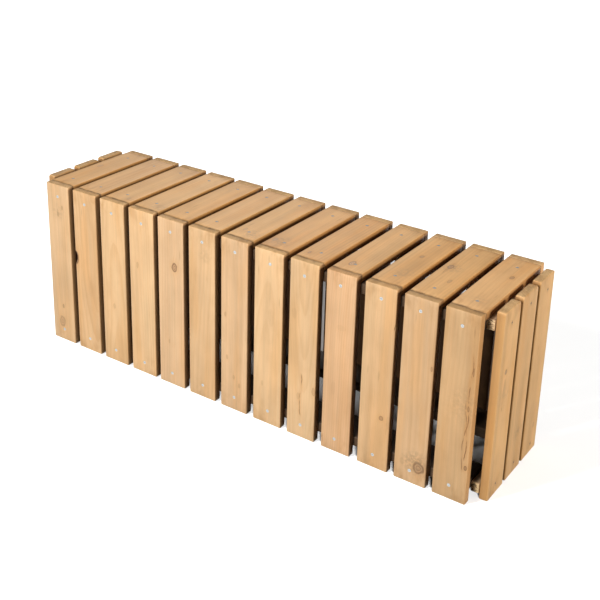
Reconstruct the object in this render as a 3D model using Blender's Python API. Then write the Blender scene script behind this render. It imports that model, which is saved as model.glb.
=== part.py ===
"""Slatted softwood box bench.

Thirteen bays of planed board wrap a long frame: a full-height slat on the
front, a full-height slat on the back, and a seat slat between the two.  Four
flat rails run the length of the box inside the corners.  At each end three
more upright slats are fixed to a pair of cross battens, which are fixed to the
ends of the rails.  The underside is open.

Metres, +Z up.  The origin is on the floor at the middle of the box, +X runs
along the length and -Y is the front.
"""
import bpy
import bmesh
from mathutils import Vector

MM = 0.001

# ---------------------------------------------------------------- dimensions
HEIGHT = 450 * MM              # floor to seat
DEPTH = 325 * MM               # front face to back face
SLAT_T = 20 * MM               # thickness of every slat
FIT = 0.3 * MM                 # clearance left between touching pieces

# Planed boards come out a little under or over 80 mm, and they are laid by
# eye: the width of each bay's slats, left to right, and the gap after each.
BAY_WIDTHS = (79, 79.5, 81.5, 81, 80.5, 80.5, 78.5, 80.5, 77, 76.5, 78, 79, 79.5)
BAY_GAPS = (16, 15.5, 15.5, 14, 16.5, 18, 19, 18, 19.5, 21, 17, 16)

RAIL_W = 80 * MM               # long rails, laid flat
RAIL_T = 25 * MM
RAIL_SET_IN = 6.3 * MM         # rail ends stop short of the last slat's edge
LOW_RAIL_Z = 19.5 * MM         # underside of the two lower rails

END_GAP = 14 * MM              # from the last slat's edge to the end slats
END_BATTEN_H = 25 * MM         # cross battens, stood on edge
END_BATTEN_LOW_Z = 13 * MM     # underside of the lower cross batten
END_BATTEN_FRONT = 38 * MM     # from the front face back to the batten's end
END_BATTEN_LEN = 264 * MM
END_SLAT_W = 79.5 * MM
END_SLAT_GAP = 11 * MM
END_SLAT_FRONT = 40 * MM       # from the front face back to the first end slat

ARRIS = 1.5 * MM               # small chamfer planed on every long edge

# ------------------------------------------------------------------ colours
FRONT_RGB = (0.78, 0.53, 0.30)
SEAT_RGB = (0.66, 0.43, 0.23)
END_RGB = (0.70, 0.46, 0.24)
BACK_RGB = (0.68, 0.46, 0.26)
RAIL_RGB = (0.60, 0.41, 0.24)


def clear_scene():
    for ob in list(bpy.data.objects):
        bpy.data.objects.remove(ob, do_unlink=True)


def softwood(name, rgb, shift):
    """Each board has its own finish, a shade lighter or darker than its set."""
    mat = bpy.data.materials.new(name)
    mat.use_nodes = True
    bsdf = mat.node_tree.nodes["Principled BSDF"]
    bsdf.inputs["Base Color"].default_value = (
        rgb[0] * shift, rgb[1] * shift, rgb[2] * shift, 1.0)
    bsdf.inputs["Roughness"].default_value = 0.62
    bsdf.inputs["Metallic"].default_value = 0.0
    mat.diffuse_color = (rgb[0] * shift, rgb[1] * shift, rgb[2] * shift, 1.0)
    return mat


def board(name, lo, hi, rgb, parent, shade):
    """A board between two corners, built round its own centre and placed."""
    lo, hi = Vector(lo), Vector(hi)
    size = hi - lo
    mesh = bpy.data.meshes.new(name)
    bm = bmesh.new()
    bmesh.ops.create_cube(bm, size=1.0)
    bmesh.ops.scale(bm, vec=size, verts=bm.verts)
    bm.to_mesh(mesh)
    bm.free()
    ob = bpy.data.objects.new(name, mesh)
    bpy.context.scene.collection.objects.link(ob)
    ob.location = (lo + hi) / 2
    ob.parent = parent
    mesh.materials.append(softwood(name + "_wood", rgb, shade))
    bevel = ob.modifiers.new("arris", "BEVEL")
    bevel.width = ARRIS
    bevel.segments = 1
    bevel.limit_method = "ANGLE"
    return ob


def bays():
    """The left and right edge of each bay, centred on X = 0."""
    total = sum(BAY_WIDTHS) + sum(BAY_GAPS)
    x = -total / 2
    edges = []
    for i, width in enumerate(BAY_WIDTHS):
        edges.append((x * MM, (x + width) * MM))
        x += width + (BAY_GAPS[i] if i < len(BAY_GAPS) else 0)
    return edges


def main():
    clear_scene()
    frame = bpy.data.objects.new("bench_frame", None)
    bpy.context.scene.collection.objects.link(frame)

    front = -DEPTH / 2
    back = DEPTH / 2
    edges = bays()
    half_len = edges[-1][1]

    # slats: one ring of three per bay
    for i, (x0, x1) in enumerate(edges):
        n = "%02d" % (i + 1)
        shade = 1.0 + 0.05 * (((i * 7) % 5) / 2.0 - 1.0)
        board("front_slat_" + n, (x0, front, 0), (x1, front + SLAT_T, HEIGHT),
              FRONT_RGB, frame, shade)
        board("seat_slat_" + n,
              (x0, front + SLAT_T + FIT, HEIGHT - SLAT_T),
              (x1, back - SLAT_T - FIT, HEIGHT), SEAT_RGB, frame, shade)
        board("back_slat_" + n, (x0, back - SLAT_T, 0), (x1, back, HEIGHT),
              BACK_RGB, frame, shade)

    # long rails, laid flat behind the slats' screws
    rail_x = half_len - RAIL_SET_IN
    top_z = HEIGHT - SLAT_T - FIT - RAIL_T
    inner_f = front + SLAT_T + FIT
    inner_b = back - SLAT_T - FIT
    for level, z in (("upper", top_z), ("lower", LOW_RAIL_Z)):
        board(level + "_front_rail", (-rail_x, inner_f, z),
              (rail_x, inner_f + RAIL_W, z + RAIL_T), RAIL_RGB, frame, 1.0)
        board(level + "_back_rail", (-rail_x, inner_b - RAIL_W, z),
              (rail_x, inner_b, z + RAIL_T), RAIL_RGB, frame, 0.97)

    # end frames: two cross battens and three upright slats each
    slat_in = half_len + END_GAP
    slat_out = slat_in + SLAT_T
    batten_in = rail_x + FIT
    batten_out = slat_in - FIT
    batten_y0 = front + END_BATTEN_FRONT
    batten_y1 = batten_y0 + END_BATTEN_LEN
    up_z = HEIGHT - SLAT_T - FIT - END_BATTEN_H
    for side, sign in (("left", -1), ("right", 1)):
        for level, z in (("upper", up_z), ("lower", END_BATTEN_LOW_Z)):
            xs = sorted((sign * batten_in, sign * batten_out))
            board("%s_end_%s_batten" % (side, level),
                  (xs[0], batten_y0, z), (xs[1], batten_y1, z + END_BATTEN_H),
                  RAIL_RGB, frame, 1.05)
        xs = sorted((sign * slat_in, sign * slat_out))
        for k, where in enumerate(("front", "middle", "back")):
            y0 = front + END_SLAT_FRONT + k * (END_SLAT_W + END_SLAT_GAP)
            board("%s_end_slat_%s" % (side, where),
                  (xs[0], y0, 0), (xs[1], y0 + END_SLAT_W, HEIGHT),
                  END_RGB, frame, 1.0 + 0.03 * (k - 1))


main()
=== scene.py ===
"""Slatted softwood box bench: thirteen hoops of three boards, front, seat and back, screwed to four flat rails, with three boards nailed on each end."""
import math
import random

import bmesh
import bpy
from mathutils import Matrix, Vector, noise


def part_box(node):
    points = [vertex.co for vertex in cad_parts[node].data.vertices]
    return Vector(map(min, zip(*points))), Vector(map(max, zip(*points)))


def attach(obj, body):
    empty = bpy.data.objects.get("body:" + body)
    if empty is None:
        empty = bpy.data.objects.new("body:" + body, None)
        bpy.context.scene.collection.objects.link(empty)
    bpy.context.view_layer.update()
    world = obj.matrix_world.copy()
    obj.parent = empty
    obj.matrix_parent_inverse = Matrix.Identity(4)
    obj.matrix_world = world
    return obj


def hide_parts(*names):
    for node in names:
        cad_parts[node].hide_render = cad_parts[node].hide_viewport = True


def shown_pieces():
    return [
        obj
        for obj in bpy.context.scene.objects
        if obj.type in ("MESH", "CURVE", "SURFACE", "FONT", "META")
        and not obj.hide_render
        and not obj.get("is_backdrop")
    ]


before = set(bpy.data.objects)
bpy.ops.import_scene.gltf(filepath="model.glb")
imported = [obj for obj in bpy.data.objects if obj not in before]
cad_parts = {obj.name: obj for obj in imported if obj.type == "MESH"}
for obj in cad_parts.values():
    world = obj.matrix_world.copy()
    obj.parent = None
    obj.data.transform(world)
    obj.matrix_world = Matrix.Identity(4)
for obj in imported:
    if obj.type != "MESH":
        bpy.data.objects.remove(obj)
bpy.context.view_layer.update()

MM = 0.001
COUNT = 13
X, Y, Z = 0, 1, 2

ARRIS = 2.5 * MM  # planed softwood with its long edges eased by hand
END_ARRIS_WEAR = 0.25 * MM
STEP_LONG, STEP_WIDE = 15 * MM, 13 * MM
SCREW_HOLE = [(4.7, 0.0), (4.3, 0.35), (2.1, 2.9)]  # radius and depth in mm
NAIL_HOLE = [(2.75, 0.0), (2.5, 0.6)]


# ---------------------------------------------------------------- boards

def cuts(half, r, step, cells=(), extra=()):
    """Places along one axis where the board's skin is cut. The last three each side turn the arris, and none falls inside a cell."""
    flat = half - r
    turn = [flat + r * math.tan(math.radians(a)) for a in (0, 22.5, 45)]
    stops = {-flat, flat}
    for lo, hi in cells:
        stops |= {lo, hi}
    stops |= {e for e in extra if -flat < e < flat and not any(lo < e < hi for lo, hi in cells)}
    stops = sorted(stops)
    places = [-t for t in reversed(turn)]
    for a, b in zip(stops, stops[1:]):
        whole = any(abs(a - lo) < 1e-9 and abs(b - hi) < 1e-9 for lo, hi in cells)
        n = 1 if whole else max(1, math.ceil((b - a) / step - 0.3))
        places += [a + (b - a) * i / n for i in range(1, n + 1)]
    return places + turn[1:]


class Board:
    """One board in its own directions: w across, t out of its show face, l along the grain."""

    def __init__(self, node, across, out, along, side=1):
        self.node = node
        lo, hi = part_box(node)
        self.axes = (across, out, along)
        self.side = side
        self.half = [(hi[a] - lo[a]) / 2 for a in self.axes]
        self.middle = [(hi[a] + lo[a]) / 2 for a in range(3)]
        self.seed = random.Random(node).uniform(0, 60)
        self.holes = []
        self.bites = []
        self.worn = []  # corners of the show face rounded off: which w side, which l end, radius
        self.crack = None

    def world(self, p):
        at = list(self.middle)
        for a, v, s in zip(self.axes, p, (1, self.side, 1)):
            at[a] += s * v
        return Vector(at)

    def settle(self, p):
        """A point of the sharp box, moved to the rounded and slightly uneven skin."""
        q = Vector([max(-(h - ARRIS), min(h - ARRIS, v)) for v, h in zip(p, self.half)])
        d = Vector(p) - q
        n = d.normalized()
        s = q + n * ARRIS
        turned = 1 - max(abs(c) for c in n)
        uneven = 0.5 + 0.5 * noise.noise(Vector((s[0] * 22, s[1] * 22, s[2] * 9 + self.seed)))
        knocks = max(0.0, noise.noise(Vector((s[0] * 40, s[1] * 40, s[2] * 55 + self.seed * 3))))
        s -= n * (0.10 * MM * uneven + (0.5 + 1.6 * knocks) * MM * turned)
        for sw, sl, r in self.worn:
            a, b = (sw * s[0] - (self.half[0] - r)), (sl * s[2] - (self.half[2] - r))
            if a > 0 and b > 0:
                k = max(a, b) / math.hypot(a, b)
                s[0], s[2] = sw * (self.half[0] - r + a * k), sl * (self.half[2] - r + b * k)
        for centre, radii, inward in self.bites:
            e = Vector([(a - b) / c for a, b, c in zip(s, centre, radii)])
            if e.length_squared < 1:
                b = e.dot(inward)
                k = -b + math.sqrt(b * b + 1 - e.length_squared)
                rough = 0.82 + 0.25 * noise.noise(s * 260)
                s += Vector([i * c for i, c in zip(inward, radii)]) * k * rough
        if self.crack:
            t0, deep, w0, w1, end = self.crack
            if p[2] * end >= self.half[2] - 1e-9 and abs(p[1] - t0(p[0])) < 0.05 * MM and w0 < p[0] < w1:
                s[2] -= end * deep * math.sin(math.pi * (p[0] - w0) / (w1 - w0)) ** 0.5
        return s

    def build(self, name, fine=()):
        """fine is a list of (axis, from, to, step) where the skin is cut closer."""
        cells_w = sorted({(round(w - c, 7), round(w + c, 7)) for w, l, c, _ in self.holes})
        cells_l = sorted({(round(l - c, 7), round(l + c, 7)) for w, l, c, _ in self.holes})
        extra = [[], [], []]
        for axis, a, b, step in fine:
            n = max(1, round((b - a) / step))
            extra[axis] += [a + (b - a) * i / n for i in range(n + 1)]
        if len(cells_w) == 2 and cells_w[0][1] > cells_w[1][0]:
            # Two screws side by side share their cuts, so each cell keeps its own middle.
            (a, b), (c, d) = cells_w
            cells_w = [(min(a, c), max(b, d))]
        grid = [
            cuts(self.half[0], ARRIS, STEP_WIDE, cells_w, extra[0]),
            cuts(self.half[1], ARRIS, STEP_WIDE, (), extra[1]),
            cuts(self.half[2], ARRIS, STEP_LONG, cells_l, extra[2]),
        ]
        last = [len(g) - 1 for g in grid]
        bm = bmesh.new()
        held = {}
        local = []

        def vert(p):
            local.append(p)
            return bm.verts.new(self.world(p))

        def at(*ijk):
            if ijk not in held:
                held[ijk] = vert(self.settle([g[i] for g, i in zip(grid, ijk)]))
            return held[ijk]

        def cell_hole(j, k):
            for w, l, c, rings in self.holes:
                if grid[0][j] < w < grid[0][j + 1] and grid[2][k] < l < grid[2][k + 1]:
                    return w, l, rings
            return None

        for axis in range(3):
            u, v = [a for a in range(3) if a != axis]
            for end in (0, last[axis]):
                for j in range(last[u]):
                    for k in range(last[v]):
                        ring = []
                        for dj, dk in ((0, 0), (1, 0), (1, 1), (0, 1)):
                            ijk = [0, 0, 0]
                            ijk[axis], ijk[u], ijk[v] = end, j + dj, k + dk
                            ring.append(at(*ijk))
                        hole = cell_hole(j, k) if axis == 1 and end else None
                        if not hole:
                            bm.faces.new(ring)
                            continue
                        w, l, rings = hole
                        corner = [ring[2], ring[3], ring[0], ring[1]]  # at 45, 135, 225 and 315 degrees
                        level = sum((local[r.index] if r.index >= 0 else Vector((0, self.half[1], 0)))[1] for r in ring) / 4
                        level = self.half[1] - 0.06 * MM
                        loops = []
                        for radius, deep in rings:
                            loops.append([
                                vert(Vector((w + radius * MM * math.cos(math.tau * i / 16), level - deep * MM, l + radius * MM * math.sin(math.tau * i / 16))))
                                for i in range(16)
                            ])
                        first = loops[0]
                        for q in range(4):
                            for i in range(4 * q, 4 * q + 4):
                                bm.faces.new((corner[q], first[i], first[(i + 1) % 16]))
                            bm.faces.new((corner[q], first[(4 * q + 4) % 16], corner[(q + 1) % 4]))
                        for upper, lower in zip(loops, loops[1:]):
                            for i in range(16):
                                bm.faces.new((upper[i], lower[i], lower[(i + 1) % 16], upper[(i + 1) % 16]))
                        bm.faces.new(loops[-1])
        bmesh.ops.recalc_face_normals(bm, faces=bm.faces)
        mesh = bpy.data.meshes.new(name)
        bm.to_mesh(mesh)
        bm.free()
        self.local = local
        write(mesh, "grain", [tuple(p) for p in local])
        return mesh


def write(mesh, name, values, kind="FLOAT_VECTOR"):
    field = {"FLOAT_VECTOR": "vector", "FLOAT_COLOR": "color"}[kind]
    if isinstance(values, tuple):
        values = [values] * len(mesh.vertices)
    data = mesh.attributes.new(name, kind, "POINT")
    data.data.foreach_set(field, [c for v in values for c in v])


def smooth(mesh, angle=40):
    """Shades smooth, with hard edges where the skin turns by more than angle."""
    mesh.polygons.foreach_set("use_smooth", [True] * len(mesh.polygons))
    mesh.update()
    bm = bmesh.new()
    bm.from_mesh(mesh)
    for e in bm.edges:
        if len(e.link_faces) == 2 and e.calc_face_angle(0) > math.radians(angle):
            e.smooth = False
    bm.to_mesh(mesh)
    bm.free()


def show(name, mesh, material):
    mesh.materials.append(material)
    o = bpy.data.objects.new(name, mesh)
    bpy.context.scene.collection.objects.link(o)
    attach(o, "root")
    return o


# ---------------------------------------------------------------- node helpers

class Nodes:
    def __init__(self, material):
        material.use_nodes = True
        self.tree = material.node_tree
        self.tree.nodes.clear()

    def make(self, kind, inputs=(), **props):
        node = self.tree.nodes.new(kind)
        for k, v in props.items():
            setattr(node, k, v)
        items = inputs.items() if isinstance(inputs, dict) else enumerate(inputs)
        for k, v in items:
            if v is None:
                continue
            if isinstance(v, bpy.types.NodeSocket):
                self.tree.links.new(v, node.inputs[k])
            else:
                node.inputs[k].default_value = v
        return node

    def math(self, op, a, b=None, c=None, clamp=False):
        return self.make("ShaderNodeMath", (a, b, c), operation=op, use_clamp=clamp).outputs[0]

    def vmath(self, op, a, b=None):
        n = self.make("ShaderNodeVectorMath", (a, b), operation=op)
        return n.outputs["Value" if op in ("LENGTH", "DOT_PRODUCT", "DISTANCE") else "Vector"]

    def scaled(self, v, by):
        return self.make("ShaderNodeVectorMath", {0: v, "Scale": by}, operation="SCALE").outputs["Vector"]

    def attribute(self, name, out="Vector"):
        return self.make("ShaderNodeAttribute", attribute_name=name, attribute_type="GEOMETRY").outputs[out]

    def parts(self, v):
        return self.make("ShaderNodeSeparateXYZ", (v,)).outputs

    def joined(self, x, y, z):
        return self.make("ShaderNodeCombineXYZ", (x, y, z)).outputs[0]

    def noise(self, v, scale=1.0, detail=2.0, rough=0.5, out="Fac"):
        n = self.make("ShaderNodeTexNoise", {"Vector": v, "Scale": scale, "Detail": detail, "Roughness": rough})
        return n.outputs["Fac" if out == "Fac" else "Color"]

    def step(self, v, a, b, lo=0.0, hi=1.0):
        return self.make("ShaderNodeMapRange", {"Value": v, "From Min": a, "From Max": b, "To Min": lo, "To Max": hi}, interpolation_type="SMOOTHSTEP", clamp=True).outputs[0]

    def between(self, v, a, b, lo, hi):
        return self.make("ShaderNodeMapRange", {"Value": v, "From Min": a, "From Max": b, "To Min": lo, "To Max": hi}, clamp=True).outputs[0]

    def mix(self, fac, a, b, blend="MIX"):
        n = self.make("ShaderNodeMix", {0: fac}, data_type="RGBA", blend_type=blend, clamp_factor=True)
        for i, v in ((6, a), (7, b)):
            if isinstance(v, bpy.types.NodeSocket):
                self.tree.links.new(v, n.inputs[i])
            else:
                n.inputs[i].default_value = (*v, 1)
        return n.outputs[2]


def softwood(name, early, late, end_tint, coarse=0.0, inner_shade_tint=(0.15, 0.12, 0.10)):
    """Planed softwood. Its rings are cylinders about a pith that each board carries in its mesh, so the faces and the end grain agree, and its knots bend them."""
    m = bpy.data.materials.new(name)
    n = Nodes(m)
    grain = n.attribute("grain")
    w, t, l = n.parts(grain)
    log = n.parts(n.attribute("log"))
    lean = n.parts(n.attribute("lean"))
    rings = n.parts(n.attribute("rings"))
    half = n.parts(n.attribute("half"))
    tone = n.attribute("tone")
    seed = log[2]
    shift = n.joined(n.math("MULTIPLY", seed, 0.37), n.math("MULTIPLY", seed, 0.83), seed)

    def stretched(across, along):
        """Coordinates for marks that are long along the grain."""
        return n.vmath("ADD", n.vmath("MULTIPLY", grain, (across, across, along)), shift)

    # How far the stem wanders, slow along the board.
    wander = n.vmath("SUBTRACT", n.noise(stretched(7, 3.2), detail=1.5, out="Color"), (0.5, 0.5, 0.5))
    wander = n.parts(n.scaled(wander, rings[2]))
    rw = n.math("ADD", n.math("SUBTRACT", n.math("SUBTRACT", w, log[0]), n.math("MULTIPLY", lean[0], l)), wander[0])
    rt = n.math("ADD", n.math("SUBTRACT", n.math("SUBTRACT", t, log[1]), n.math("MULTIPLY", lean[1], l)), wander[1])
    radius = n.math("SQRT", n.math("ADD", n.math("MULTIPLY", rw, rw), n.math("MULTIPLY", rt, rt)))

    # Knots, each at (w, l) with a radius and a stretch along the board. The rings swell round each.
    darks = n.attribute("dark", "Color")
    dark_of = list(n.parts(darks)) + [n.attribute("dark", "Alpha")]
    ragged = n.parts(n.vmath("SUBTRACT", n.noise(stretched(95, 60), detail=2, out="Color"), (0.5, 0.5, 0.5)))
    knot_mask = knot_halo = knot_rim = knot_rings = None
    for i in range(4):
        k = n.parts(n.attribute(f"knot_{i + 1}", "Color"))
        stretch = n.attribute(f"knot_{i + 1}", "Alpha")
        size = n.math("MAXIMUM", k[2], 0.0002)
        dw = n.math("DIVIDE", n.math("SUBTRACT", w, k[0]), size)
        dl = n.math("DIVIDE", n.math("DIVIDE", n.math("SUBTRACT", l, k[1]), size), stretch)
        dw = n.math("ADD", dw, n.math("MULTIPLY", ragged[0], 0.7))
        dl = n.math("ADD", dl, n.math("MULTIPLY", ragged[1], 0.7))
        d = n.math("SQRT", n.math("ADD", n.math("MULTIPLY", dw, dw), n.math("MULTIPLY", dl, dl)))
        swell = n.math("MULTIPLY", n.math("MULTIPLY", n.step(d, 0.2, 3.6, 1, 0), size), n.math("MULTIPLY", dark_of[i], 0.8))
        radius = n.math("ADD", radius, swell)
        inside = n.math("MULTIPLY", n.step(d, 0.8, 1.12, 1, 0), dark_of[i])
        halo = n.math("MULTIPLY", n.step(d, 0.9, 3.0, 1, 0), dark_of[i])
        rim = n.math("MULTIPLY", n.math("MULTIPLY", n.step(d, 0.60, 0.98), n.step(d, 0.98, 1.3, 1, 0)), n.math("POWER", dark_of[i], 2.2))
        turns = n.math("MULTIPLY", n.math("MULTIPLY", n.math("SINE", n.math("MULTIPLY", d, 12)), 0.5), inside)
        join = lambda a, b, op: b if a is None else n.math(op, a, b)
        knot_mask = join(knot_mask, inside, "MAXIMUM")
        knot_halo = join(knot_halo, halo, "MAXIMUM")
        knot_rim = join(knot_rim, rim, "MAXIMUM")
        knot_rings = join(knot_rings, turns, "ADD")

    phase = n.math("DIVIDE", radius, rings[0])
    phase = n.math("ADD", phase, n.math("MULTIPLY", n.noise(stretched(38, 5), detail=2), 0.55))
    year = n.math("FLOOR", phase)
    part = n.math("FRACT", phase)
    late_band = n.math("MULTIPLY", n.step(part, 0.30, 0.88), n.step(part, 0.90, 1.0, 1, 0))
    each = n.make("ShaderNodeTexWhiteNoise", {"W": n.math("ADD", year, seed)}, noise_dimensions="1D").outputs["Value"]
    late_band = n.math("MULTIPLY", late_band, n.between(each, 0, 1, 0.35, 1.0))
    slow = n.noise(n.joined(n.math("MULTIPLY", phase, 0.31), seed, 0.0), detail=1)
    face_rings = n.math("MULTIPLY", late_band, rings[1])

    fibre = n.noise(stretched(900, 22), detail=3, rough=0.6)
    hair = n.noise(stretched(2600, 60), detail=2, rough=0.6)
    streak = n.noise(stretched(150, 3.5), detail=2, rough=0.55)
    broad = n.noise(stretched(45, 2.0), detail=1)
    cloud = n.noise(stretched(11, 7), detail=2)
    warm = n.noise(n.vmath("ADD", stretched(26, 3.0), (7.7, 1.3, 4.1)), detail=1.5)

    colour = n.mix(face_rings, early, late)
    pale = tuple(min(1, c * s) for c, s in zip(early, (1.05, 1.11, 1.15)))
    ruddy = tuple(c * s for c, s in zip(early, (0.98, 0.87, 0.70)))
    colour = n.mix(n.math("MULTIPLY", n.step(warm, 0.50, 0.72), 0.55), colour, n.mix(face_rings, ruddy, late))
    colour = n.mix(n.math("MULTIPLY", n.step(warm, 0.50, 0.28), 0.50), colour, n.mix(face_rings, pale, late))
    light = n.math("ADD", 1.0, n.between(streak, 0.25, 0.75, -0.05, 0.05))
    light = n.math("ADD", light, n.between(fibre, 0.25, 0.75, -0.05, 0.05))
    light = n.math("ADD", light, n.between(hair, 0.25, 0.75, -0.03, 0.03))
    light = n.math("ADD", light, n.between(broad, 0.25, 0.75, -0.06, 0.06))
    light = n.math("ADD", light, n.between(cloud, 0.25, 0.75, -0.11, 0.09))
    light = n.math("ADD", light, n.between(slow, 0.25, 0.75, -0.05, 0.05))

    # Drying splits, thin wandering lines along the grain, each with a faint ruddy margin.
    for i in range(2):
        s = n.parts(n.attribute(f"split_{i + 1}", "Color"))
        strength = n.attribute(f"split_{i + 1}", "Alpha")
        slow_bend = n.noise(n.joined(n.math("MULTIPLY", l, 15), n.math("ADD", seed, 3.0 * i), 0.0), detail=1)
        quick_bend = n.noise(n.joined(n.math("MULTIPLY", l, 60), n.math("ADD", seed, 9.0), 0.0), detail=2)
        line = n.math("ADD", s[0], n.math("ADD", n.between(slow_bend, 0.2, 0.8, -0.006, 0.006), n.between(quick_bend, 0.2, 0.8, -0.0012, 0.0012)))
        off = n.math("ABSOLUTE", n.math("SUBTRACT", w, line))
        along = n.math("MINIMUM", n.math("SUBTRACT", l, s[1]), n.math("SUBTRACT", s[2], l))
        along = n.math("MULTIPLY", n.step(along, 0.0, 0.012), strength)
        broken = n.step(n.noise(n.joined(n.math("MULTIPLY", l, 34), seed, 5.0 + i), detail=3), 0.40, 0.60)
        thin = n.math("MULTIPLY", n.math("MULTIPLY", n.step(off, 0.0003, 0.0014, 1, 0), broken), along)
        margin = n.math("MULTIPLY", n.step(off, 0.0, 0.007, 1, 0), along)
        colour = n.mix(n.math("MULTIPLY", margin, 0.28), colour, tuple(c * s_ for c, s_ in zip(late, (0.95, 0.80, 0.62))))
        colour = n.mix(n.math("MULTIPLY", thin, 0.85), colour, (0.20, 0.085, 0.032))

    # Short dark flecks along the grain, on a few cells only.
    cell = n.make("ShaderNodeTexVoronoi", {"Vector": stretched(70, 11), "Scale": 1.0})
    chosen = n.step(n.parts(cell.outputs["Color"])[0], 0.80, 0.86)
    fleck = n.math("MULTIPLY", n.step(cell.outputs["Distance"], 0.05, 0.20, 1, 0), chosen)
    colour = n.mix(n.math("MULTIPLY", fleck, 0.30), colour, tuple(c * 0.55 for c in late))

    colour = n.mix(n.math("MULTIPLY", knot_halo, 0.34), colour, tuple(c * s for c, s in zip(late, (1.05, 0.98, 0.85))))
    heart = n.mix(n.math("ADD", knot_rings, 0.45), (0.24, 0.115, 0.05), (0.62, 0.37, 0.185))
    colour = n.mix(n.math("MULTIPLY", knot_mask, 0.80), colour, heart)
    colour = n.mix(n.math("MULTIPLY", knot_rim, 0.75), colour, (0.16, 0.075, 0.03))

    # One smudge, a dirty cloud with no edge.
    s1 = n.parts(n.attribute("smudge", "Color"))
    sw = n.math("DIVIDE", n.math("SUBTRACT", w, s1[0]), n.math("MAXIMUM", s1[2], 0.0002))
    sl = n.math("DIVIDE", n.math("SUBTRACT", l, s1[1]), n.math("MAXIMUM", s1[2], 0.0002))
    sd = n.math("SQRT", n.math("ADD", n.math("MULTIPLY", sw, sw), n.math("MULTIPLY", sl, sl)))
    dirt = n.noise(n.vmath("ADD", n.scaled(grain, 130), shift), detail=3, rough=0.6)
    smudge = n.math("MULTIPLY", n.math("MULTIPLY", n.step(sd, 0.2, 1.2, 1, 0), n.step(dirt, 0.34, 0.62)), n.attribute("smudge", "Alpha"))
    colour = n.mix(smudge, colour, (0.36, 0.24, 0.135))

    # Saw-cut end grain: darker, greyer and open, with the rings strong.
    near_end = n.math("SUBTRACT", half[2], n.math("ABSOLUTE", l))
    end = n.step(near_end, 0.0004, 0.0013, 1, 0)
    end_colour = n.mix(n.math("MULTIPLY", late_band, 0.50), end_tint, tuple(c * s for c, s in zip(end_tint, (0.74, 0.68, 0.60))))
    pores = n.noise(n.vmath("MULTIPLY", grain, (1500, 1500, 300)), detail=2)
    blot = n.noise(n.vmath("ADD", n.scaled(grain, 55), shift), detail=2)
    end_colour = n.mix(n.math("MULTIPLY", n.step(blot, 0.42, 0.70), 0.55), end_colour, tuple(c * s for c, s in zip(end_tint, (0.60, 0.54, 0.46))))
    if coarse:
        # Drying checks across the end.
        check = n.noise(n.vmath("ADD", n.vmath("MULTIPLY", grain, (55, 130, 0)), shift), detail=1.5)
        check = n.step(n.math("ABSOLUTE", n.math("SUBTRACT", check, 0.5)), 0.012, 0.040, 1, 0)
        end_colour = n.mix(n.math("MULTIPLY", check, 0.85), end_colour, (0.10, 0.045, 0.018))
    colour = n.mix(end, colour, end_colour)
    light = n.math("ADD", light, n.math("MULTIPLY", end, n.between(pores, 0.3, 0.7, -0.12, 0.12)))

    # Handling: the arrises are rubbed a little paler, and the last centimetre before an end holds some dirt.
    side_w = n.step(n.math("SUBTRACT", half[0], n.math("ABSOLUTE", w)), 0.0002, 0.0022, 1, 0)
    side_t = n.step(n.math("SUBTRACT", half[1], n.math("ABSOLUTE", t)), 0.0002, 0.0022, 1, 0)
    arris = n.math("MULTIPLY", side_w, side_t)
    sawn = n.math("MULTIPLY", n.step(n.math("SUBTRACT", half[0], n.math("ABSOLUTE", w)), 0.0002, 0.0016, 1, 0), n.math("SUBTRACT", 1.0, end))
    colour = n.mix(sawn, colour, (0.96, 0.88, 0.76), "MULTIPLY")
    # Painted shade on the side faces in the gaps between boards, darker the deeper it lies, and a dark line in the
    # joint between a front board and a seat board, which is dirt with painted shade.
    gap_shade_and_joint_dirt = n.parts(n.attribute("gap_shade_and_joint_dirt"))
    right = n.math("GREATER_THAN", w, 0.0)
    gap_side_shade = n.math("ADD", n.math("MULTIPLY", right, gap_shade_and_joint_dirt[0]), n.math("MULTIPLY", n.math("SUBTRACT", 1.0, right), gap_shade_and_joint_dirt[1]))
    depth = n.make("ShaderNodeMapRange", {"Value": t, "From Min": half[1], "From Max": n.math("MULTIPLY", half[1], -1.0), "To Min": 0.25, "To Max": 1.0}, clamp=True).outputs[0]
    colour = n.mix(n.math("MULTIPLY", n.math("MULTIPLY", sawn, gap_side_shade), depth), colour, (0.18, 0.125, 0.070), "MULTIPLY")
    joint = n.math("MULTIPLY", n.step(near_end, 0.0, 0.006, 1, 0), n.math("MAXIMUM", gap_shade_and_joint_dirt[2], 0.0))
    back_edge = n.math("MULTIPLY", n.math("MULTIPLY", n.step(n.math("ADD", half[1], t), 0.0, 0.009, 1, 0), end), n.math("MAXIMUM", n.math("MULTIPLY", gap_shade_and_joint_dirt[2], -1.0), 0.0))
    joint_patches = n.between(blot, 0.3, 0.65, 0.35, 1.0)
    colour = n.mix(n.math("MULTIPLY", n.math("MAXIMUM", joint, back_edge), joint_patches), colour, (0.19, 0.115, 0.055))
    # Painted shade: the inner faces, towards the inside of the box, are multiplied by the inner tint, less so near the
    # ends.
    inner_shade = n.math("MULTIPLY", n.step(n.math("ADD", half[1], t), 0.0002, 0.0022, 1, 0), n.step(near_end, 0.006, 0.018, 0.25, 1.0))
    colour = n.mix(inner_shade, colour, inner_shade_tint, "MULTIPLY")
    light = n.math("ADD", light, n.math("MULTIPLY", arris, n.between(blot, 0.3, 0.7, 0.05, -0.10)))
    patch = n.noise(stretched(34, 17), detail=3, rough=0.6)
    soil = n.math("MULTIPLY", n.step(near_end, 0.0, 0.060, 1, 0.22), n.step(patch, 0.46, 0.72))
    colour = n.mix(n.math("MULTIPLY", soil, 0.52), colour, tuple(c * s for c, s in zip(late, (0.80, 0.74, 0.64))))
    colour = n.vmath("MULTIPLY", n.scaled(colour, light), tone)

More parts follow.
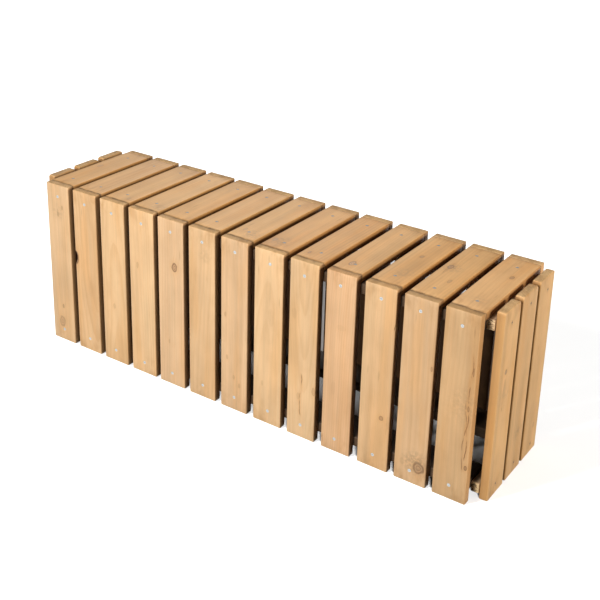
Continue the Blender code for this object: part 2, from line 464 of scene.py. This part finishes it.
    rough = n.between(fibre, 0.2, 0.8, 0.50, 0.68)
    rough = n.math("ADD", rough, n.math("MULTIPLY", end, 0.22))
    rough = n.math("SUBTRACT", rough, n.math("MULTIPLY", face_rings, 0.06))
    rough = n.math("SUBTRACT", rough, n.math("MULTIPLY", knot_mask, 0.12), clamp=True)
    relief = n.math("ADD", n.math("MULTIPLY", fibre, 0.55), n.math("MULTIPLY", face_rings, 0.9))
    relief = n.math("ADD", relief, n.math("MULTIPLY", hair, 0.25))
    relief = n.math("SUBTRACT", relief, n.math("MULTIPLY", fleck, 0.7))
    relief = n.math("SUBTRACT", relief, n.math("MULTIPLY", knot_rim, 1.2))
    kerf = n.noise(n.joined(n.math("MULTIPLY", w, 40), n.math("MULTIPLY", t, 900), seed), detail=2)
    relief = n.math("ADD", relief, n.math("MULTIPLY", end, n.math("ADD", n.math("MULTIPLY", kerf, 1.4), n.math("MULTIPLY", pores, 1.6))))
    bump = n.make("ShaderNodeBump", {"Strength": 0.55 + coarse, "Distance": 0.00035, "Height": relief}).outputs[0]
    shader = n.make("ShaderNodeBsdfPrincipled", {"Base Color": colour, "Roughness": rough, "Normal": bump, "IOR": 1.46, "Specular IOR Level": 0.38})
    n.make("ShaderNodeOutputMaterial", {"Surface": shader.outputs[0]})
    return m


def metal(name, colour, dull, rough, shiny):
    """Plated or plain steel, with a cloudy dull bloom and fine scratches."""
    m = bpy.data.materials.new(name)
    n = Nodes(m)
    place = n.make("ShaderNodeTexCoord").outputs["Object"]
    cloud = n.noise(place, 700, 3)
    fine = n.noise(n.vmath("MULTIPLY", place, (6000, 1500, 3000)), 1, 2)
    tint = n.mix(n.step(cloud, 0.38, 0.66), colour, dull)
    tint = n.scaled(tint, n.between(fine, 0.3, 0.7, 0.88, 1.08))
    shine = n.math("ADD", n.between(cloud, 0.3, 0.7, rough - 0.10, rough + 0.14), n.between(fine, 0.3, 0.7, -0.05, 0.05), clamp=True)
    bump = n.make("ShaderNodeBump", {"Strength": 0.4, "Distance": 0.00005, "Height": n.math("ADD", fine, cloud)}).outputs[0]
    shader = n.make("ShaderNodeBsdfPrincipled", {"Base Color": tint, "Metallic": shiny, "Roughness": shine, "Normal": bump})
    n.make("ShaderNodeOutputMaterial", {"Surface": shader.outputs[0]})
    return m


FRONT = softwood("front_boards", (0.80, 0.525, 0.290), (0.66, 0.38, 0.175), (0.64, 0.40, 0.190))
SEAT = softwood("seat_boards", (0.76, 0.435, 0.175), (0.585, 0.297, 0.104), (0.60, 0.36, 0.15))
BACK = softwood("back_boards", (0.76, 0.48, 0.250), (0.60, 0.34, 0.150), (0.62, 0.39, 0.18))
ENDS = softwood("end_boards", (0.74, 0.45, 0.206), (0.56, 0.307, 0.123), (0.64, 0.41, 0.20))
# The rails are near black, painted shade that stands for the dark inside of the box, and their inner faces get the
# inner painted shade too.
RAILS = softwood("frame_timber_painted_shade", (0.085, 0.055, 0.034), (0.055, 0.034, 0.020), (0.10, 0.068, 0.042), coarse=0.2)
TIMBER = softwood("frame_timber", (0.66, 0.44, 0.26), (0.48, 0.29, 0.15), (0.95, 0.70, 0.40), coarse=0.2, inner_shade_tint=(1.0, 1.0, 1.0))
ZINC = metal("screw_zinc", (0.70, 0.73, 0.74), (0.50, 0.52, 0.52), 0.56, 0.25)
WORN = metal("screw_zinc_worn", (0.40, 0.39, 0.37), (0.28, 0.26, 0.24), 0.66, 0.2)
NAIL = metal("nail_steel", (0.17, 0.14, 0.12), (0.08, 0.06, 0.05), 0.5, 0.8)


# ---------------------------------------------------------------- fixings

def lathe(bm, rings, n, cap_last=True):
    """Rings of (radius, height), joined in order. Returns the first ring."""
    loops = [[bm.verts.new((r * math.cos(math.tau * i / n), r * math.sin(math.tau * i / n), z)) for i in range(n)] for r, z in rings]
    for a, b in zip(loops, loops[1:]):
        for i in range(n):
            bm.faces.new((a[i], b[i], b[(i + 1) % n], a[(i + 1) % n]))
    if cap_last:
        bm.faces.new(loops[-1])
    return loops[0]


def screw_mesh():
    """Countersunk wood screw, 4 x 40 mm, with a plain cross recess. The face of the board is at Z = 0."""
    bm = bmesh.new()
    rings = [(3.62, -0.22), (3.92, -0.34), (3.95, -0.62), (1.95, -2.75)]
    z = -3.2
    while z > -35.5:
        rings += [(1.55, z), (1.95, z - 0.7)]
        z -= 1.8
    rings += [(1.5, -36.2), (0.25, -40)]
    rim = lathe(bm, rings, 16)
    a, b = 0.5, 1.85
    cross = []
    for q in range(4):
        c, s = math.cos(q * math.pi / 2), math.sin(q * math.pi / 2)
        cross += [(x * c - y * s, x * s + y * c) for x, y in ((b, -a), (b, a), (a, a))]
    top = [bm.verts.new((x, y, -0.22)) for x, y in cross]
    low = [bm.verts.new((x * 0.5, y * 0.5, -1.9)) for x, y in cross]
    edges = [bm.edges.get((rim[i], rim[(i + 1) % 16])) or bm.edges.new((rim[i], rim[(i + 1) % 16])) for i in range(16)]
    edges += [bm.edges.new((top[i], top[(i + 1) % 12])) for i in range(12)]
    bmesh.ops.triangle_fill(bm, use_beauty=True, edges=edges, normal=(0, 0, 1))
    for i in range(12):
        bm.faces.new((top[i], low[i], low[(i + 1) % 12], top[(i + 1) % 12]))
    bm.faces.new(low)
    bmesh.ops.triangulate(bm, faces=[f for f in bm.faces if len(f.verts) > 4])
    bmesh.ops.recalc_face_normals(bm, faces=bm.faces)
    bmesh.ops.scale(bm, vec=(MM, MM, MM), verts=bm.verts)
    mesh = bpy.data.meshes.new("screw")
    bm.to_mesh(mesh)
    bm.free()
    smooth(mesh, 28)
    return mesh


def nail_mesh():
    """Round wire nail, 2 x 42 mm, driven just under the surface."""
    bm = bmesh.new()
    rings = [(1.2, -0.22), (2.0, -0.26), (2.3, -0.36), (2.3, -0.52), (1.0, -0.80), (1.0, -39), (0.2, -42)]
    first = lathe(bm, rings, 16)
    bm.faces.new(first)
    bmesh.ops.recalc_face_normals(bm, faces=bm.faces)
    bmesh.ops.scale(bm, vec=(MM, MM, MM), verts=bm.verts)
    mesh = bpy.data.meshes.new("nail")
    bm.to_mesh(mesh)
    bm.free()
    smooth(mesh, 28)
    return mesh


SCREW, SEAT_SCREW, NAILS = screw_mesh(), screw_mesh(), nail_mesh()
SCREW.materials.append(ZINC)
SEAT_SCREW.materials.append(WORN)
NAILS.materials.append(NAIL)


def drive(name, mesh, board, w, l, turn):
    """Puts one fixing in the board's show face."""
    out = Vector((0, 0, 0))
    out[board.axes[1]] = board.side
    flat = Vector((0, 0, 0))
    flat[board.axes[0]] = 1
    flat.rotate(Matrix.Rotation(turn, 3, out))
    m = Matrix.Identity(4)
    for i, c in enumerate((flat, out.cross(flat), out, board.world((w, board.half[1] - 0.06 * MM, l)))):
        for j in range(3):
            m[j][i] = c[j]
    o = bpy.data.objects.new(name, mesh)
    bpy.context.scene.collection.objects.link(o)
    o.matrix_world = m
    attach(o, "root")
    return o


# ---------------------------------------------------------------- each board's own wood

# Marks seen on single boards: (w, l, radius, stretch along, darkness), in mm from the board's middle.
MARKS = {
    "front_slat_01": [(-5.5, -170, 9.5, 1.55, 0.62), (0.5, -123, 3.2, 1.6, 0.75), (14.5, 164, 2.4, 2.2, 0.6), (-1.6, 143, 3.0, 2.0, 0.55)],
    "front_slat_02": [(-40, 38, 11, 1.6, 1.0), (12, -40, 8, 3.0, 0.12)],
    "front_slat_03": [(-1.2, -64, 4.2, 1.8, 0.34)],
    "front_slat_04": [(-14.2, 76, 3.4, 2.4, 0.42)],
    "front_slat_05": [(12.4, 103, 7.6, 1.45, 0.95), (-7.3, -104, 2.6, 2.2, 0.35)],
    "front_slat_06": [(9, 175, 10, 3.2, 0.13)],
    "front_slat_07": [(-26, 27, 2.6, 2.2, 0.5), (-20, -86, 3.0, 2.0, 0.42), (0.5, -135, 3.4, 1.6, 0.38), (17, -153, 3.4, 1.8, 0.4)],
    "front_slat_08": [(8, 60, 9, 2.6, 0.10), (-14, -120, 3.0, 2.2, 0.25)],
    "front_slat_09": [(-7.5, -116, 4.6, 1.7, 0.30), (-24, 92, 7, 1.8, 0.18), (34, -92, 4.5, 2.2, 0.5)],
    "front_slat_10": [(4, 94, 12, 0.55, 0.13), (-10, -60, 6, 3.0, 0.12)],
    "front_slat_11": [(17.5, -92, 4.6, 1.1, 0.85), (36, -96, 5, 3.4, 0.16)],
    "front_slat_12": [(20.7, -179, 12.0, 1.1, 0.92), (34.8, 71, 2.2, 2.4, 0.7), (-20, -176, 5, 1.6, 0.25)],
    "front_slat_13": [(33.5, 96, 1.6, 6.0, 0.8), (29, 8, 2.0, 3.0, 0.85), (34.2, -133, 3.0, 1.8, 1.0)],
    "seat_slat_08": [(-25.7, -102, 5.5, 1.6, 0.55)],
    "seat_slat_07": [(-18, -96, 4.2, 1.8, 0.5)],
    "seat_slat_12": [(-21, 12, 6.0, 1.8, 0.85), (10, -57, 4.0, 2.2, 0.55)],
    "seat_slat_03": [(20, -120, 4.0, 2.0, 0.42)],
    "right_end_slat_front": [(-8, 78, 4.2, 1.2, 1.0), (-8, 36, 5.0, 5.0, 0.30), (10, -150, 6, 2.0, 0.2)],
    "right_end_slat_middle": [(10, -118, 4.0, 2.0, 0.35)],
    "right_end_slat_back": [(14, -155, 4.2, 1.6, 0.4)],
}
# Dirty clouds with no edge: (w, l, radius, strength), in mm.
SMUDGES = {
    "front_slat_12": (12, -170, 36, 0.60), "front_slat_13": (28, 10, 55, 0.22), "front_slat_01": (-2, 150, 26, 0.25), "front_slat_06": (10, 160, 24, 0.22),
    "seat_slat_08": (-10, -105, 34, 0.40), "seat_slat_07": (12, -112, 30, 0.42), "seat_slat_04": (20, -118, 24, 0.40), "seat_slat_12": (-16, 8, 26, 0.50),
    "seat_slat_13": (4, -100, 26, 0.22), "seat_slat_11": (8, -80, 30, 0.30), "right_end_slat_front": (-6, 20, 34, 0.25), "right_end_slat_middle": (10, -120, 26, 0.3),
}
# Boards whose colour is set apart: red, green and blue, as shares of the usual. The front boards at the right end, 10
# to 13, are set darker, most of all 13.
TONES = {
    "front_slat_02": (0.96, 0.93, 0.88), "front_slat_03": (1.03, 1.03, 1.03), "front_slat_04": (1.04, 1.04, 1.04), "front_slat_10": (0.93, 0.88, 0.84),
    "front_slat_11": (0.89, 0.87, 0.86), "front_slat_12": (0.89, 0.87, 0.86), "front_slat_13": (0.84, 0.80, 0.74), "seat_slat_04": (1.06, 1.08, 1.10), "seat_slat_05": (0.96, 0.93, 0.86), "seat_slat_08": (0.94, 0.91, 0.84), "front_slat_01": (1.04, 1.06, 1.08), "front_slat_09": (1.04, 1.05, 1.08),
    "seat_slat_09": (0.94, 0.90, 0.84), "seat_slat_13": (1.04, 1.06, 1.10),
}
# Drying splits: (w, from l, to l, strength), in mm.
SPLITS = {
    "front_slat_13": ((31, -120, 140, 1.0), (24, -150, 30, 0.75)), "front_slat_09": ((-3, -172, -52, 1.0),), "front_slat_10": ((-33, -218, -186, 0.5),),
    "right_end_slat_front": ((-9, -20, 62, 0.7),), "front_slat_11": ((30, -150, -80, 0.35),), "seat_slat_12": ((-24, -30, 40, 0.45),),
    "front_slat_06": ((20, 90, 170, 0.3),), "seat_slat_08": ((14, -130, -60, 0.4),), "back_slat_04": ((10, -90, 60, 0.5),), "left_end_slat_middle": ((8, -120, 20, 0.5),),
}
# Boards sawn flat, which show flame figure: the pith lies close behind the face.
FLAME = {"front_slat_03": (8, -52), "front_slat_08": (-6, -46), "front_slat_09": (4, -40), "front_slat_02": (26, -70)}


def wood_of(mesh, board, stains=()):
    """Writes where the board lay in its log, its rings, its tone and its knots."""
    rnd = random.Random(board.node + " wood")
    if board.node in FLAME:
        pith = tuple(v * MM for v in FLAME[board.node])
        lean = (rnd.uniform(-0.02, 0.02), rnd.choice((-1, 1)) * rnd.uniform(0.025, 0.05), 0)
    else:
        pith = (rnd.choice((-1, 1)) * rnd.uniform(50, 190) * MM, -rnd.uniform(20, 120) * MM)
        lean = (rnd.uniform(-0.03, 0.03), rnd.uniform(-0.03, 0.03), 0)
    write(mesh, "log", (pith[0], pith[1], board.seed))
    write(mesh, "lean", lean)
    write(mesh, "rings", (rnd.uniform(3.6, 7.5) * MM, rnd.uniform(0.22, 0.42) * (1.2 if board.node in FLAME else 1), rnd.uniform(8, 20) * MM))
    write(mesh, "half", tuple(board.half))
    value = rnd.uniform(0.965, 1.035)
    tone = (value * rnd.uniform(0.995, 1.005), value, value * rnd.uniform(0.96, 1.04))
    tone = tuple(a * b for a, b in zip(tone, TONES.get(board.node, (1, 1, 1))))
    write(mesh, "tone", tone)
    marks = list(MARKS.get(board.node, ()))
    if not marks and rnd.random() < 0.6:
        marks.append((rnd.uniform(-0.8, 0.8) * board.half[0] / MM, rnd.uniform(-0.85, 0.85) * board.half[2] / MM, rnd.uniform(2.5, 6.5), rnd.uniform(1.2, 2.0), rnd.uniform(0.35, 0.9)))
    for w, l in stains:
        marks.insert(0, (w / MM, l / MM, 4.2, 1.3, 0.42))
    marks = marks[:4] + [(0, 5000, 0, 1, 0)] * (4 - len(marks))
    for i, (w, l, r, s, _) in enumerate(marks):
        write(mesh, f"knot_{i + 1}", (w * MM, l * MM, r * MM, s), "FLOAT_COLOR")
    write(mesh, "dark", tuple(m[4] for m in marks), "FLOAT_COLOR")
    for i, (w, a, b, strength) in enumerate((SPLITS.get(board.node, ()) + ((0, 5000, 5001, 0),) * 2)[:2]):
        write(mesh, f"split_{i + 1}", (w * MM, a * MM, b * MM, strength), "FLOAT_COLOR")
    kind, last = board.node.rsplit("_", 1)
    # How much painted shade lies on its two sides in the gaps (the right one first), and whether it meets a front board
    # with its end (1) or a seat board with its back (-1), where the joint gets dirt with painted shade.
    right = left = 1.0 if kind in ("front_slat", "seat_slat", "back_slat") else 0.0
    if kind in ("front_slat", "back_slat"):
        right, left = (0.0 if last == "13" else 1.0), (0.0 if last == "01" else 1.0)
    if kind.endswith("end_slat"):
        right, left = (0.8, 0.45) if last == "front" else (0.45, 0.8) if last == "back" else (0.8, 0.8)
    write(mesh, "gap_shade_and_joint_dirt", (right, left, {"seat_slat": 1.0, "front_slat": -1.0}.get(kind, 0.0)))
    w, l, r, strength = SMUDGES.get(board.node, (0, 5000, 1, 0))
    write(mesh, "smudge", (w * MM, l * MM, r * MM, strength), "FLOAT_COLOR")


def finish_board(board, material, fine=(), stains=()):
    mesh = board.build(board.node + "_board", fine)
    wood_of(mesh, board, stains)
    smooth(mesh)
    o = show(board.node + "_board", mesh, material)
    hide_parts(board.node)
    return o


def two_screws(board, places, prefix):
    """places is [(w, l, word)]. The head's cell is 6.5 mm to each side."""
    rnd = random.Random(prefix)
    for w, l, word in places:
        board.holes.append((w, l, 6.5 * MM, SCREW_HOLE))
    return [(f"{prefix}_{word}", w, l, rnd.uniform(0, math.pi / 2)) for w, l, word in places]


def level(board, other):
    """Where the middle of another node lies along this board."""
    lo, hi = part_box(other)
    a = board.axes[2]
    return (lo[a] + hi[a]) / 2 - board.middle[a]


for i in range(1, COUNT + 1):
    tag = f"{i:02d}"
    rnd = random.Random(f"hoop {i}")

    front = Board(f"front_slat_{tag}", X, Y, Z, -1)
    high, low = level(front, "upper_front_rail"), level(front, "lower_front_rail")
    wa = rnd.uniform(-3, 3) * MM
    wb = wa if abs(wa) < 0 else rnd.uniform(-3, 3) * MM
    fixings = two_screws(front, [(wa, high + rnd.uniform(-2.2, 2.2) * MM, "upper"), (wa, low + rnd.uniform(-3, 3) * MM, "lower")], f"front_screw_{tag}")
    fine = []
    if i == 2:
        front.bites.append((Vector((-front.half[0], front.half[1], 38 * MM)), (7.5 * MM, 16 * MM, 17 * MM), Vector((1, -0.6, 0)).normalized()))
        fine = [(0, -front.half[0] + 2 * MM, -front.half[0] + 10 * MM, 2 * MM), (2, 19 * MM, 57 * MM, 3 * MM), (1, -front.half[1] + 2 * MM, front.half[1] - 2 * MM, 4 * MM)]
    if i == 11:
        front.bites.append((Vector((front.half[0], front.half[1], 134 * MM)), (3 * MM, 4 * MM, 8 * MM), Vector((-1, -0.7, 0)).normalized()))
        fine = [(0, front.half[0] - 6 * MM, front.half[0] - 2 * MM, 2 * MM), (2, 126 * MM, 142 * MM, 2 * MM)]
    finish_board(front, FRONT, fine)
    for name, w, l, turn in fixings:
        drive(name, SCREW, front, w, l, turn)

    seat = Board(f"seat_slat_{tag}", X, Z, Y, 1)
    wa = rnd.uniform(-3, 3) * MM
    fixings = two_screws(seat, [(wa, level(seat, "upper_front_rail") + rnd.uniform(-3, 3) * MM, "front"), (wa, level(seat, "upper_back_rail") + rnd.uniform(-3, 3) * MM, "back")], f"seat_screw_{tag}")
    finish_board(seat, SEAT)
    for name, w, l, turn in fixings:
        drive(name, SEAT_SCREW, seat, w, l, turn)

    back = Board(f"back_slat_{tag}", X, Y, Z, 1)
    wa = rnd.uniform(-3, 3) * MM
    fixings = two_screws(back, [(wa, level(back, "upper_back_rail") + rnd.uniform(-3, 3) * MM, "upper"), (wa, level(back, "lower_back_rail") + rnd.uniform(-3, 3) * MM, "lower")], f"back_screw_{tag}")
    finish_board(back, BACK)
    for name, w, l, turn in fixings:
        drive(name, SEAT_SCREW, back, w, l, turn)

for name in ("upper_front_rail", "upper_back_rail", "lower_front_rail", "lower_back_rail"):
    finish_board(Board(name, Y, Z, X, 1), RAILS)

for end, side in (("left", -1), ("right", 1)):
    for where in ("upper", "lower"):
        batten = Board(f"{end}_end_{where}_batten", Z, X, Y, side)
        # A drying crack across the front end, a third of the way up.
        t0 = -3 * MM
        if where == "upper":
            batten = Board(f"{end}_end_{where}_batten", X, Z, Y, 1)
            batten.crack = (lambda w: 1.5 * MM, 7 * MM, -8 * MM, 8 * MM, -1)
            fine = [(1, 0.7 * MM, 2.3 * MM, 0.8 * MM), (0, -7.2 * MM, 7.2 * MM, 2.4 * MM)]
        else:
            batten = Board(f"{end}_end_{where}_batten", X, Z, Y, 1)
            fine = []
        finish_board(batten, TIMBER, fine)
    for where in ("front", "middle", "back"):
        slat = Board(f"{end}_end_slat_{where}", Y, X, Z, side)
        rnd = random.Random(slat.node)
        nails = []
        for word in ("upper", "lower"):
            w = rnd.uniform(2, 11) * MM * (1 if where != "front" else -0.2)
            l = level(slat, f"{end}_end_{word}_batten") + rnd.uniform(-4, 4) * MM
            nails.append((w, l, word))
            slat.holes.append((nails[0][0], l, 4.5 * MM, NAIL_HOLE))
        slat.worn = [(1, 1, 11 * MM if where != "back" else 5 * MM), (-1, 1, 6 * MM)]
        ends = [(0, a * slat.half[0] - 12 * MM * (a > 0), a * slat.half[0] + 12 * MM * (a < 0), 2 * MM) for a in (-1, 1)] + [(2, slat.half[2] - 12 * MM, slat.half[2] - 2.5 * MM, 2 * MM)]
        finish_board(slat, ENDS, ends, stains=[(nails[0][0], l) for _, l, _ in nails])
        for w, l, word in nails:
            drive(f"{end}_end_nail_{where}_{word}", NAILS, slat, nails[0][0], l, 0.3)


# ---------------------------------------------------------------- studio

def floor():
    size, cells = 7.0, 28
    bm = bmesh.new()
    bmesh.ops.create_grid(bm, x_segments=cells, y_segments=cells, size=size)
    mesh = bpy.data.meshes.new("floor")
    bm.to_mesh(mesh)
    bm.free()
    m = bpy.data.materials.new("floor")
    n = Nodes(m)
    place = n.make("ShaderNodeTexCoord").outputs["Object"]
    tint = n.mix(n.noise(place, 3, 2), (0.86, 0.86, 0.855), (0.89, 0.89, 0.885))
    shader = n.make("ShaderNodeBsdfPrincipled", {"Base Color": tint, "Roughness": 0.9, "Specular IOR Level": 0.1})
    n.make("ShaderNodeOutputMaterial", {"Surface": shader.outputs[0]})
    mesh.materials.append(m)
    o = bpy.data.objects.new("floor", mesh)
    bpy.context.scene.collection.objects.link(o)
    o.visible_diffuse = False  # it takes shadows, and throws no light up between the boards
    o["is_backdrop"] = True


def lamp(name, turn, rise, far, size, watts, colour=(1, 1, 1), on=None):
    """A soft panel aimed at the bench. turn is measured from the front towards the right, and rise above the floor, in degrees. It lights only the collection on, if one is given."""
    a, e = math.radians(turn), math.radians(rise)
    to = Vector((math.sin(a) * math.cos(e), -math.cos(a) * math.cos(e), math.sin(e)))
    light = bpy.data.lights.new(name, "AREA")
    light.shape = "RECTANGLE"
    light.size, light.size_y = size
    light.energy = watts
    light.color = colour
    o = bpy.data.objects.new(name, light)
    bpy.context.scene.collection.objects.link(o)
    o.location = Vector((0, 0, 0.22)) + to * far
    o.rotation_euler = (-to).to_track_quat("-Z", "Y").to_euler()
    if on:
        o.light_linking.receiver_collection = on


def wash(name, turn, rise, spread, strength):
    """Even light on the floor, from very far off. spread is how large the lamp looks, in degrees."""
    a, e = math.radians(turn), math.radians(rise)
    to = Vector((math.sin(a) * math.cos(e), -math.cos(a) * math.cos(e), math.sin(e)))
    light = bpy.data.lights.new(name, "SUN")
    light.energy = strength
    light.angle = math.radians(spread)
    o = bpy.data.objects.new(name, light)
    bpy.context.scene.collection.objects.link(o)
    o.location = to * 12
    o.rotation_euler = (-to).to_track_quat("-Z", "Y").to_euler()
    o.light_linking.receiver_collection = ground


floor()
ground = bpy.data.collections.new("ground")
ground.objects.link(bpy.data.objects["floor"])
bench = bpy.data.collections.new("bench")
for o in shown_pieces():
    bench.objects.link(o)
lamp("key", 1, 27, 3.4, (0.8, 0.8), 122, (1.0, 0.985, 0.955), on=bench)
lamp("side", 91, 20, 4.2, (1.0, 0.8), 108, (1.0, 0.94, 0.84), on=bench)
lamp("rear", -142, 34, 5.0, (2.0, 1.5), 90, on=bench)
for side in (-1, 1):
    # These two are for the floor alone. From here hardly any light passes between the boards, and the floor seen through the gaps is in shade.
    wash(f"wash_{side}", 36 * side, 24, 14, 6.8)
# A wide soft light from above and behind keeps the shade on the floor soft.
wash("fill", 180, 62, 110, 0.75)

world = bpy.data.worlds.new("studio")
world.use_nodes = True
tree = world.node_tree
sky = tree.nodes["Background"]
sky.inputs["Color"].default_value = (1, 1, 1, 1)
sky.inputs["Strength"].default_value = 0.022
seen = tree.nodes.new("ShaderNodeBackground")
seen.inputs["Color"].default_value = (0.86, 0.86, 0.86, 1)
either = tree.nodes.new("ShaderNodeMixShader")
tree.links.new(tree.nodes.new("ShaderNodeLightPath").outputs["Is Camera Ray"], either.inputs[0])
tree.links.new(sky.outputs[0], either.inputs[1])
tree.links.new(seen.outputs[0], either.inputs[2])
tree.links.new(either.outputs[0], tree.nodes["World Output"].inputs["Surface"])
bpy.context.scene.world = world


def camera():
    turn, rise, roll = (math.radians(a) for a in (33.87, 19.77, 1.58))
    look = Vector((-math.sin(turn) * math.cos(rise), math.cos(turn) * math.cos(rise), -math.sin(rise)))
    right = Vector((math.cos(turn), math.sin(turn), 0))
    up = right.cross(look)
    x = right * math.cos(roll) + up * math.sin(roll)
    y = up * math.cos(roll) - right * math.sin(roll)
    m = Matrix.Identity(4)
    for i, c in enumerate((x, y, -look, Vector((1.3609, -1.9306, 1.4251)))):
        for j in range(3):
            m[j][i] = c[j]
    cam = bpy.data.cameras.new("camera")
    cam.sensor_width = 36
    cam.lens = 63.54
    cam.shift_y = -0.21667
    cam.clip_start, cam.clip_end = 0.05, 60
    o = bpy.data.objects.new("camera", cam)
    bpy.context.scene.collection.objects.link(o)
    o.matrix_world = m
    bpy.context.scene.camera = o


camera()
bpy.context.scene.view_settings.view_transform = "Standard"
bpy.context.scene.view_settings.look = "None"

bpy.context.view_layer.update()
